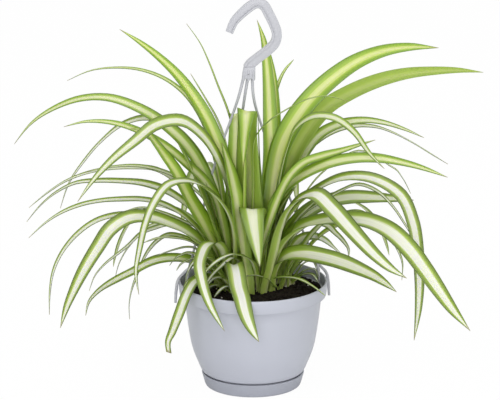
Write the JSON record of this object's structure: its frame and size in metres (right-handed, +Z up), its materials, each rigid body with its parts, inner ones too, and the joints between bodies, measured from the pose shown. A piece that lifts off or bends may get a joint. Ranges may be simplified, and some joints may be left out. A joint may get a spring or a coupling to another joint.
{
  "type": "potted spider plant",
  "caption": "Arching striped spider plant in a round plastic pot with a clip-on saucer and a hook hanger on strands.",
  "frame": {"origin": "middle of the saucer's flat underside, where the pot stands", "axes": "+Z up; -Y is the front; the plant's widest fan and the hook's profile lie along X"},
  "size_m": [0.478, 0.3072, 0.4012],
  "materials": {
    "pot_plastic": "satin lavender-grey polypropylene",
    "saucer_plastic": "satin grey polypropylene, a little darker than the pot",
    "hanger_plastic": "smooth pale grey moulded plastic",
    "potting_soil": "damp crumbly peat compost",
    "crown_tissue": "pale sheathing leaf bases",
    "leaf_tissue": "waxy leaf blade, green margins and a pale lengthwise stripe"
  },
  "bodies": {
    "root": {"pot": "pot_plastic", "saucer": "saucer_plastic", "soil": "potting_soil", "crown_main": "crown_tissue", "crown_left": "crown_tissue", "crown_right": "crown_tissue", "hanger_hook": "hanger_plastic", "strand_left": "hanger_plastic", "strand_right": "hanger_plastic", "strand_back": "hanger_plastic", "leaf_top_1": "leaf_tissue", "leaf_top_2": "leaf_tissue", "leaf_top_3": "leaf_tissue", "leaf_top_4": "leaf_tissue", "leaf_front_fold": "leaf_tissue", "leaf_top_5": "leaf_tissue", "leaf_top_6": "leaf_tissue", "leaf_right_4": "leaf_tissue", "leaf_left_1": "leaf_tissue", "leaf_left_2": "leaf_tissue", "leaf_left_3": "leaf_tissue", "leaf_left_4": "leaf_tissue", "leaf_left_5": "leaf_tissue", "leaf_left_6": "leaf_tissue", "leaf_left_7": "leaf_tissue", "leaf_left_8": "leaf_tissue", "leaf_left_9": "leaf_tissue", "leaf_left_10": "leaf_tissue", "leaf_left_11": "leaf_tissue", "leaf_left_12": "leaf_tissue", "leaf_left_13": "leaf_tissue", "leaf_left_14": "leaf_tissue", "leaf_left_15": "leaf_tissue", "leaf_left_16": "leaf_tissue", "leaf_left_17": "leaf_tissue", "leaf_right_5": "leaf_tissue", "leaf_right_6": "leaf_tissue", "leaf_right_1": "leaf_tissue", "leaf_right_2": "leaf_tissue", "leaf_right_3": "leaf_tissue", "leaf_right_7": "leaf_tissue", "leaf_right_8": "leaf_tissue", "leaf_right_9": "leaf_tissue", "leaf_right_10": "leaf_tissue", "leaf_right_11": "leaf_tissue", "leaf_right_12": "leaf_tissue", "leaf_right_13": "leaf_tissue", "leaf_top_7": "leaf_tissue", "leaf_front_1": "leaf_tissue", "leaf_front_2": "leaf_tissue", "leaf_front_3": "leaf_tissue", "leaf_front_4": "leaf_tissue", "leaf_front_5": "leaf_tissue", "leaf_top_8": "leaf_tissue", "leaf_top_9": "leaf_tissue", "leaf_top_10": "leaf_tissue", "leaf_top_11": "leaf_tissue", "leaf_back_1": "leaf_tissue", "leaf_back_2": "leaf_tissue", "leaf_back_3": "leaf_tissue"}
  },
  "joints": []
}
